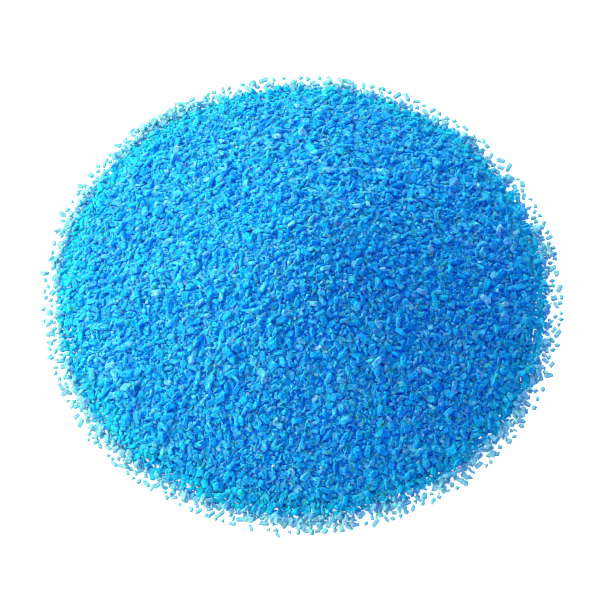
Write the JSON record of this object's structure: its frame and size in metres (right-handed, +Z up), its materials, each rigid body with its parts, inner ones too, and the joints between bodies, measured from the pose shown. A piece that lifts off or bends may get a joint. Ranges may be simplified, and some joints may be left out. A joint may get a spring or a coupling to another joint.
{
  "type": "crystal heap",
  "caption": "Free-standing conical heap of loose bright blue crystals, copper sulphate style, with separate surface crystals and a scatter of strays round its foot.",
  "frame": {"origin": "centre of the heap's round footprint, on the plane it rests on", "axes": "+Z up out of the resting plane; -Y is the front of the heap; +X its right side"},
  "size_m": [0.1043, 0.1044, 0.022],
  "materials": {
    "packed_crystal": "satin",
    "blue_crystal": "satin",
    "pale_crystal": "satin",
    "loose_crystal": "satin"
  },
  "bodies": {
    "root": {"chips_crown": "blue_crystal", "chips_lower_back": "blue_crystal", "chips_lower_front": "blue_crystal", "chips_lower_left": "blue_crystal", "chips_lower_right": "blue_crystal", "chips_upper_back": "blue_crystal", "chips_upper_front": "blue_crystal", "chips_upper_left": "blue_crystal", "chips_upper_right": "blue_crystal", "fines_back": "blue_crystal", "fines_crown": "blue_crystal", "fines_front": "blue_crystal", "fines_left": "blue_crystal", "fines_right": "blue_crystal", "packed_bed": "packed_crystal", "pale_crystals_crown": "pale_crystal", "pale_crystals_lower_back": "pale_crystal", "pale_crystals_lower_front": "pale_crystal", "pale_crystals_lower_left": "pale_crystal", "pale_crystals_lower_right": "pale_crystal", "pale_crystals_upper_back": "pale_crystal", "pale_crystals_upper_front": "pale_crystal", "pale_crystals_upper_left": "pale_crystal", "pale_crystals_upper_right": "pale_crystal", "prisms_crown": "blue_crystal", "prisms_lower_back": "blue_crystal", "prisms_lower_front": "blue_crystal", "prisms_lower_left": "blue_crystal", "prisms_lower_right": "blue_crystal", "prisms_upper_back": "blue_crystal", "prisms_upper_front": "blue_crystal", "prisms_upper_left": "blue_crystal", "prisms_upper_right": "blue_crystal", "stray_crystals_back": "loose_crystal", "stray_crystals_front": "loose_crystal", "stray_crystals_left": "loose_crystal", "stray_crystals_right": "loose_crystal", "tablets_crown": "blue_crystal", "tablets_lower_back": "blue_crystal", "tablets_lower_front": "blue_crystal", "tablets_lower_left": "blue_crystal", "tablets_lower_right": "blue_crystal", "tablets_upper_back": "blue_crystal", "tablets_upper_front": "blue_crystal", "tablets_upper_left": "blue_crystal", "tablets_upper_right": "blue_crystal", "toe_crystals_back": "loose_crystal", "toe_crystals_front": "loose_crystal", "toe_crystals_left": "loose_crystal", "toe_crystals_right": "loose_crystal"}
  },
  "joints": []
}
